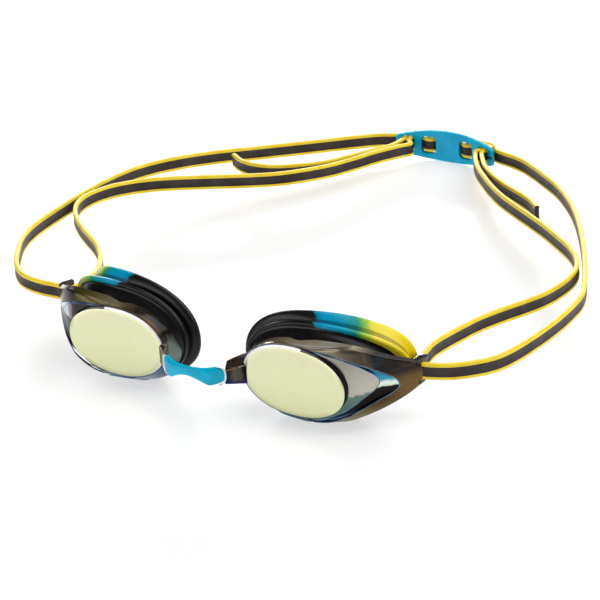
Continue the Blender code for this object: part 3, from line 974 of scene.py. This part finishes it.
def make_bridge(material):
    """The nose bridge: a bowed strip with rounded edges and a broad pad at each end."""
    top, bottom = along_curve(BRIDGE_TOP), along_curve(BRIDGE_BOTTOM)
    line = resample(spline(BRIDGE_LINE), 61)
    rings = []
    for i, point in enumerate(line):
        along = heading(line, i)
        across = Vector((-along.y, along.x))
        high, low = top(abs(point.x)), bottom(abs(point.x))
        middle, half = (high + low) / 2, (high - low) / 2
        thick = 0.75 + 0.6 * smooth(13.4, 10.5, abs(point.x))
        ring = []
        for k in range(28):
            angle = tau * k / 28
            u = thick * power_sin(angle + pi / 2, BRIDGE_POWER)
            v = half * power_sin(angle, BRIDGE_POWER)
            spot = point + across * u
            ring.append(Vector((spot.x, spot.y, LENS_Z + middle + v)))
        rings.append(ring)
    add_piece("bridge_strip", loft(rings), [material], "bridge",
              "nose_bridge", crease=50.0)


# ---------- strap

# The strap's way from above, the same as the CAD's. The loop is given for the left post.
LOOP_ROUTE = [(75.7, 29.65), (75.7, 25.2), (76.2, 23.3), (78.2, 22.2), (80.4, 22.4), (82.8, 22.95)]
OUTER_LEADS = {
    1: [(88.8, 26), (94.2, 31.2), (99.3, 39)],
    -1: [(-88.7, 22.7), (-94.3, 23.4), (-100.6, 25.3), (-106.4, 29.2), (-113.5, 36.5)],
}
INNER_LEADS = {
    1: [(74.9, 34.5), (73.9, 40)],
    -1: [(-76.4, 35), (-78, 41)],
}
BACK_ROUTE_RIGHT = [
    (-121.5, LIFT_Y), (-128.5, 60), (-133.5, 74), (-137, 92), (-139.8, 112), (-141.3, 132),
    (-141, 150), (-138, 164), (-131.5, 178), (-122, 191.5), (-110.5, 204), (-95, 221),
    (-79.5, 238.5), (-70.5, 247.8),
]
BACK_ROUTE_LEFT = [
    (5.5, 245.5), (23.7, 231), (38.5, 217), (56, 194.3), (74.4, 163.3), (90.1, 132.7),
    (98.8, 112.5), (101.6, 98), (102.9, 80), (102.7, 62), (101.6, LIFT_Y),
]
FRONT_ROUTES = {
    -1: [
        (-81.2, LIFT_Y), (-88, 58.2), (-96, 67), (-104.5, 74), (-112.5, 80.3), (-121, 87.8),
        (-129, 96.5), (-135, 106.5), (-137.2, 117.5), (-135.6, 129), (-131.1, 138.5),
        (-124.5, 146.6), (-116.5, 153.4), (-105, 161.3), (-93, 169.3), (-81.5, 178.2), (-73.6, 188),
        (-66.8, 199.5), (-62, 213), (-58.8, 224.5), (-56, 232), (-53.2, 238.5), (-50.6, 244),
    ],
    1: [
        (74, LIFT_Y), (75, 58), (76.6, 70), (79.8, 82), (83.6, 93.5), (86.6, 104.5), (87.6, 116),
        (86.8, 128), (83.8, 138.5), (78.4, 148), (71.5, 156.2), (62.8, 164.2), (52.5, 173.2),
        (40.7, 182.4), (29, 191.2), (17.5, 200.5), (6.9, 211), (0, 218.8), (-6, 225.8),
        (-11.2, 233), (-15.2, 239.5), (-17.6, 244),
    ],
}
TAIL_ROUTES = {
    -1: [
        (-57, 238), (-60.2, 230), (-63, 222.5), (-66, 214), (-71, 203), (-78.3, 194),
        (-86.5, 187.5), (-96, 185), (-104.8, 187.3), (-112.5, 192.8),
    ],
    1: [
        (-11, 238.5), (-6.6, 232), (-1, 225.5), (4.8, 220), (11.5, 214.3), (18.5, 209.3),
        (25.5, 204.6), (32.3, 199.4), (39, 192.6),
    ],
}
# The turn inside the clip, and the back strap's way behind it: how far along the clip from its
# middle, and how far behind the middle of its plate.
CLIP_TURN = [
    (18.5, -4.5), (18.5, -2), (18.2, 0.2), (16.9, 2.1), (15, 3), (13.5, 2.7), (12.2, 1),
    (9.65, -0.7), (7.1, 1), (5.8, 2.7), (4.8, 3.3), (4.4, 4.2), (5.3, 5.1), (7.4, 5.3), (11.5, 5.3),
    (16.5, 5.2), (19.6, 4.4), (20.9, 2.2), (21.1, -0.4), (21.5, -3.4),
]
BEHIND_CLIP = [
    (-25.5, 2.8), (-22.5, 5.2), (-17.5, 7.4), (-8, 7.7), (8, 7.7), (17.5, 7.4), (22.5, 5.2),
    (25.5, 2.8),
]
PER_SPAN = 24
STRAP_STEP = 1.3
# The strap's coloured edges: how high each is, how far it stands proud, and its rounding.
EDGE_HEIGHT = 1.15
EDGE_PROUD = 0.12
EDGE_ROUND = 0.6


def clip_spot(u, offset):
    """A place from above: how far along the clip, and how far behind its plate's middle."""
    angle, reach = u / CLIP_R, CLIP_R + offset
    return Vector((CLIP_CENTRE.x + reach * sin(angle), CLIP_CENTRE.y + reach * cos(angle)))


def front_route(side):
    turn = [clip_spot(side * u, offset) for u, offset in CLIP_TURN]
    return FRONT_ROUTES[side] + turn + TAIL_ROUTES[side]


def back_route():
    behind = [clip_spot(u, offset) for u, offset in BEHIND_CLIP]
    return BACK_ROUTE_RIGHT + behind + BACK_ROUTE_LEFT


def strap_z(y):
    return STRAP_Z - STRAP_FALL * max(0.0, y - STRAP_FALL_FROM)


def strap_profile():
    """The strap's cross-section: a flat core between two rounded edges that stand just proud."""
    half, core = STRAP_THICK / 2, STRAP_THICK / 2 - EDGE_PROUD
    top, step = STRAP_HEIGHT / 2, STRAP_HEIGHT / 2 - EDGE_HEIGHT
    quarter = [(core, 0.0), (core, step - 0.12), (half - 0.03, step), (half, step + 0.15)]
    for turn in (0, 30, 60, 90):
        angle = radians(turn)
        quarter.append((half - EDGE_ROUND * (1 - cos(angle)), top - EDGE_ROUND * (1 - sin(angle))))
    upper = quarter + [(-u, v) for u, v in reversed(quarter)]
    lower = [(u, -v) for u, v in reversed(upper)]
    return upper + lower[1:-1]


def make_band(name, line, start, end, materials, stands_for):
    """The strap from one place to another of its fine middle line, seen from above."""
    profile = strap_profile()
    piece = line[start:end + 1]
    length = sum((b - a).length for a, b in zip(piece, piece[1:]))
    centre = resample(piece, max(8, round(length / STRAP_STEP)))
    last = len(centre) - 1
    rings = []
    for i, point in enumerate(centre):
        if i in (0, last):
            along = heading(line, start if i == 0 else end, 2)
        else:
            along = heading(centre, i)
        across = Vector((-along.y, along.x))
        level = strap_z(point.y)
        rings.append([Vector((*(point + across * u), level + v)) for u, v in profile])

    def kind(i):
        """The profile's coloured edges are 1 and its core 0."""
        v = (profile[i][1] + profile[(i + 1) % len(profile)][1]) / 2
        return 1 if abs(v) > STRAP_HEIGHT / 2 - EDGE_HEIGHT - 0.13 else 0

    return add_piece(name, loft(rings, [kind] * len(rings)), materials,
                     stands_for=stands_for, crease=40.0)


def make_strap(materials):
    """The strap: one continuous band, cut where it passes from one moving body to the next."""
    runs = [
        ("right_front_strap", "right_front_band", front_route(-1)[::-1]),
        ("right_inner_strap_lead", "right_inner_lead", INNER_LEADS[-1][::-1]),
        ("right_strap_wrap", "right_strap_loop", [(-x, y) for x, y in LOOP_ROUTE]),
        ("right_outer_strap_lead", "right_outer_lead", OUTER_LEADS[-1]),
        ("back_strap", "back_band", back_route()),
        ("left_outer_strap_lead", "left_outer_lead", OUTER_LEADS[1][::-1]),
        ("left_strap_wrap", "left_strap_loop", LOOP_ROUTE[::-1]),
        ("left_inner_strap_lead", "left_inner_lead", INNER_LEADS[1]),
        ("left_front_strap", "left_front_band", front_route(1)),
    ]
    line = spline([point for *_, run in runs for point in run], PER_SPAN)
    first = 0
    for name, stands_for, run in runs:
        last = first + len(run) - 1
        lead = "lead" in name
        reach = 1 if lead else 0  # a lead also takes the span on each side, to meet its neighbours
        start, end = (first - reach) * PER_SPAN, (last + reach) * PER_SPAN
        band = make_band(name, line, start, end, materials, stands_for)
        cup = name.split("_")[0] + "_cup"
        if "wrap" in name:
            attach(band, cup)
        elif lead:
            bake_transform(band)
        else:
            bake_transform(band)
        first = last + 1


# ---------- clip

# The clip's openings, the same on both sides of its middle: how far along, half their width and
# half their height. The outer one is open to the clip's end through a narrow gap.
CLIP_WINDOW = (9.65, 3.7, 3.85)
CLIP_SLOT = (19.8, 3.1, 3.6)
CLIP_GAP = 0.35
HOLE_POWER = 4.5
CLIP_EDGE = 0.6


def clip_half_height(u):
    """Half the clip's height at a distance along it from its middle."""
    low, high = CLIP_HALF_HEIGHTS
    share = min(1.0, abs(u) / (CLIP_R * CLIP_HALF_ANGLE))
    return low + (high - low) * cos(share * pi / 2) ** 0.9


def clip_opening(u):
    """Half the height of the opening at a distance along the clip, and 0 where it is solid."""
    opening = 0.0
    for middle, half_width, half_height in (CLIP_WINDOW, CLIP_SLOT):
        off = min(1.0, abs(abs(u) - middle) / half_width)
        opening = max(opening, half_height * (1 - off ** HOLE_POWER) ** (1 / HOLE_POWER))
    return max(opening, CLIP_GAP) if abs(u) > CLIP_SLOT[0] else opening


def clip_columns():
    """Places along the clip, closer together where an opening's outline turns."""
    end = CLIP_R * CLIP_HALF_ANGLE
    spots = {0.0, 1.8, 3.6, 5.2, end - 2.4, end - 1.2, end - 0.5, end - 0.15, end}
    for middle, half_width, _ in (CLIP_WINDOW, CLIP_SLOT):
        for k in range(25):
            spots.add(middle - half_width * cos(pi * k / 24))
    outer = sorted(spots)
    return [-u for u in reversed(outer[1:])] + outer


def rounded_off(distance, edge=CLIP_EDGE):
    """How far a rounded edge has fallen away at a distance in from it."""
    into = min(distance, edge)
    return edge - (edge ** 2 - (edge - into) ** 2) ** 0.5


def make_clip(material):
    """The rear clip: a leaf-shaped plate with rounded edges, two windows and two end slots."""
    columns = clip_columns()
    end = columns[-1]
    steps = (0.0, 0.1, 0.3, 0.6)
    bm = bmesh.new()

    def column(u, half, face):
        """Points from the opening, or the middle, to the outer edge, on the front or the back."""
        low = clip_opening(u)
        tip = rounded_off(end - abs(u), 1.0)
        high = clip_half_height(u) - 0.8 * tip
        heights = [high - step for step in steps]
        if high - low > 3.5:
            heights += [low + step for step in steps]
            heights += [low + (high - low) * share for share in (0.35, 0.5, 0.65)]
        else:
            heights += [low + (high - low) * i / 7 for i in range(7)]
        verts = []
        for v in sorted(min(v, high) for v in heights):
            fall = rounded_off(high - v)
            if low > 0:
                fall = max(fall, rounded_off(v - low))
            t = CLIP_THICK / 2 - max(fall, 0.7 * tip)
            verts.append(bm.verts.new((*clip_spot(u, face * t), CLIP_Z + half * v)))
        return verts

    for half in (1, -1):
        sheets = []
        for face in (-1, 1):
            sheet = [column(u, half, face) for u in columns]
            for near, far in zip(sheet, sheet[1:]):
                for i in range(len(near) - 1):
                    bm.faces.new((near[i], near[i + 1], far[i + 1], far[i]))
            sheets.append(sheet)
        front, back = sheets
        for i in range(len(columns) - 1):
            bm.faces.new((front[i][-1], front[i + 1][-1], back[i + 1][-1], back[i][-1]))
            if clip_opening(columns[i]) > 0 or clip_opening(columns[i + 1]) > 0:
                bm.faces.new((front[i][0], front[i + 1][0], back[i + 1][0], back[i][0]))
        for i in (0, -1):
            for k in range(len(front[i]) - 1):
                bm.faces.new((front[i][k], front[i][k + 1], back[i][k + 1], back[i][k]))
    bmesh.ops.remove_doubles(bm, verts=bm.verts, dist=0.002)
    bmesh.ops.dissolve_degenerate(bm, edges=bm.edges, dist=0.0005)
    add_piece("strap_clip", bm, [material], "strap", "rear_clip", crease=40.0)


# ---------- stage

FLOOR_REACH = 6.0
FLOOR_GLOW = 0.6
SKY_LEVEL = 0.3
SUN_POWER = 2.3
SUN_FROM = (0.3, 0.35, 0.89)
# The soft panels: where each stands, its width and height, and its power in watts.
PANELS = (
    ("key_panel", (-0.5, -0.9, 0.3), (0.9, 0.5), 4.2),
    ("right_panel", (0.85, 0.1, 0.55), (0.35, 0.7), 3.0),
    ("back_panel", (-0.62, 1.0, 0.26), (1.0, 0.12), 7.0),
)


def make_stage():
    """A pale floor, a soft white surround that is darker overhead, soft panels and a soft sun."""
    white = new_material(
        "floor_white", base_color=(0.44, 0.44, 0.44, 1.0), roughness=0.3, specular_ior_level=0.3,
        emission_color=(1.0, 1.0, 1.0, 1.0), emission_strength=FLOOR_GLOW,
    )
    mesh = bpy.data.meshes.new("floor")
    r = FLOOR_REACH
    mesh.from_pydata([(-r, -r, 0), (r, -r, 0), (r, r, 0), (-r, r, 0)], [], [(0, 1, 2, 3)])
    mesh.materials.append(white)
    add_object("floor", mesh)

    world = bpy.data.worlds.new("studio")
    bpy.context.scene.world = world
    world.use_nodes = True
    tree = world.node_tree
    direction = tree.nodes.new("ShaderNodeTexCoord").outputs["Generated"]
    rise = axes(direction)["Z"]
    level = fade(rise, 0.12, 0.5, to=(1.0, SKY_LEVEL))
    tree.links.new(level, tree.nodes["Background"].inputs["Strength"])

    for name, spot, size, power in PANELS:
        light = bpy.data.lights.new(name, "AREA")
        light.shape = "RECTANGLE"
        light.size, light.size_y = size
        light.energy = power
        lamp = add_object(name, light)
        lamp.location = spot
        lamp.rotation_euler = (-Vector(spot)).to_track_quat("-Z", "Y").to_euler()
        lamp.visible_camera = False

    light = bpy.data.lights.new("soft_sun", "SUN")
    light.angle = radians(70)
    light.energy = SUN_POWER
    lamp = add_object("soft_sun", light)
    lamp.rotation_euler = Vector(SUN_FROM).to_track_quat("Z", "Y").to_euler()


# The camera: where it stands and its own right and up directions, in the goggles' frame.
CAMERA_AT = (481.8, -670.8, 412.0)
CAMERA_RIGHT = Vector((0.849, 0.525, -0.054))
CAMERA_UP = Vector((-0.175, 0.375, 0.910))
CAMERA_LENS = 150.0


def make_camera():
    data = bpy.data.cameras.new("camera")
    data.lens = CAMERA_LENS
    data.sensor_width = 36.0
    camera = add_object("camera", data)
    back = CAMERA_RIGHT.cross(CAMERA_UP).normalized()
    up = back.cross(CAMERA_RIGHT).normalized()
    right = up.cross(back)
    matrix = camera.matrix_world.copy()
    for column, axis in enumerate((right, up, back, place(*CAMERA_AT))):
        for row in range(3):
            matrix[row][column] = axis[row]
    camera.matrix_world = matrix
    bpy.context.scene.camera = camera


def build():
    bpy.context.scene.view_settings.view_transform = "Standard"
    black, rubber, dark = black_material(), rubber_material(), dark_coat_material()
    lens_kinds = [mirror_material(), bevel_material(), black, gold_edge_material()]
    brow, lip = arm_edge_material(), lip_material()
    for side in (1, -1):
        make_shell(side, [smoke_material(side), side_lens_material(side), fin_material(side),
                          black, edge_material(side)])
        make_lens(side, lens_kinds)
        # The groove's copy of the ridge colours is half darkened: painted shade.
        make_seal(side, [rubber, ridge_material(side), ridge_material(side, "seal_groove_shade", 0.5)])
        make_arm(side, [dark, arm_material(side), brow])
        make_arm_lip(side, [lip])
        make_post(side, [dark])
    make_bridge(moulded_material("bridge_cyan", 0x00A6CA, 0x00BEE0))
    core = moulded_material("strap_core", 0x2C2522, 0x3E3634, (0.36, 0.5), (3.0, 0.12))
    border = moulded_material("strap_edge", 0xF4D022, 0xFFE240, (0.32, 0.44))
    make_strap([core, border])
    make_clip(moulded_material("clip_cyan", 0x00AADA, 0x00BAEA))
    make_stage()
    make_camera()


build()
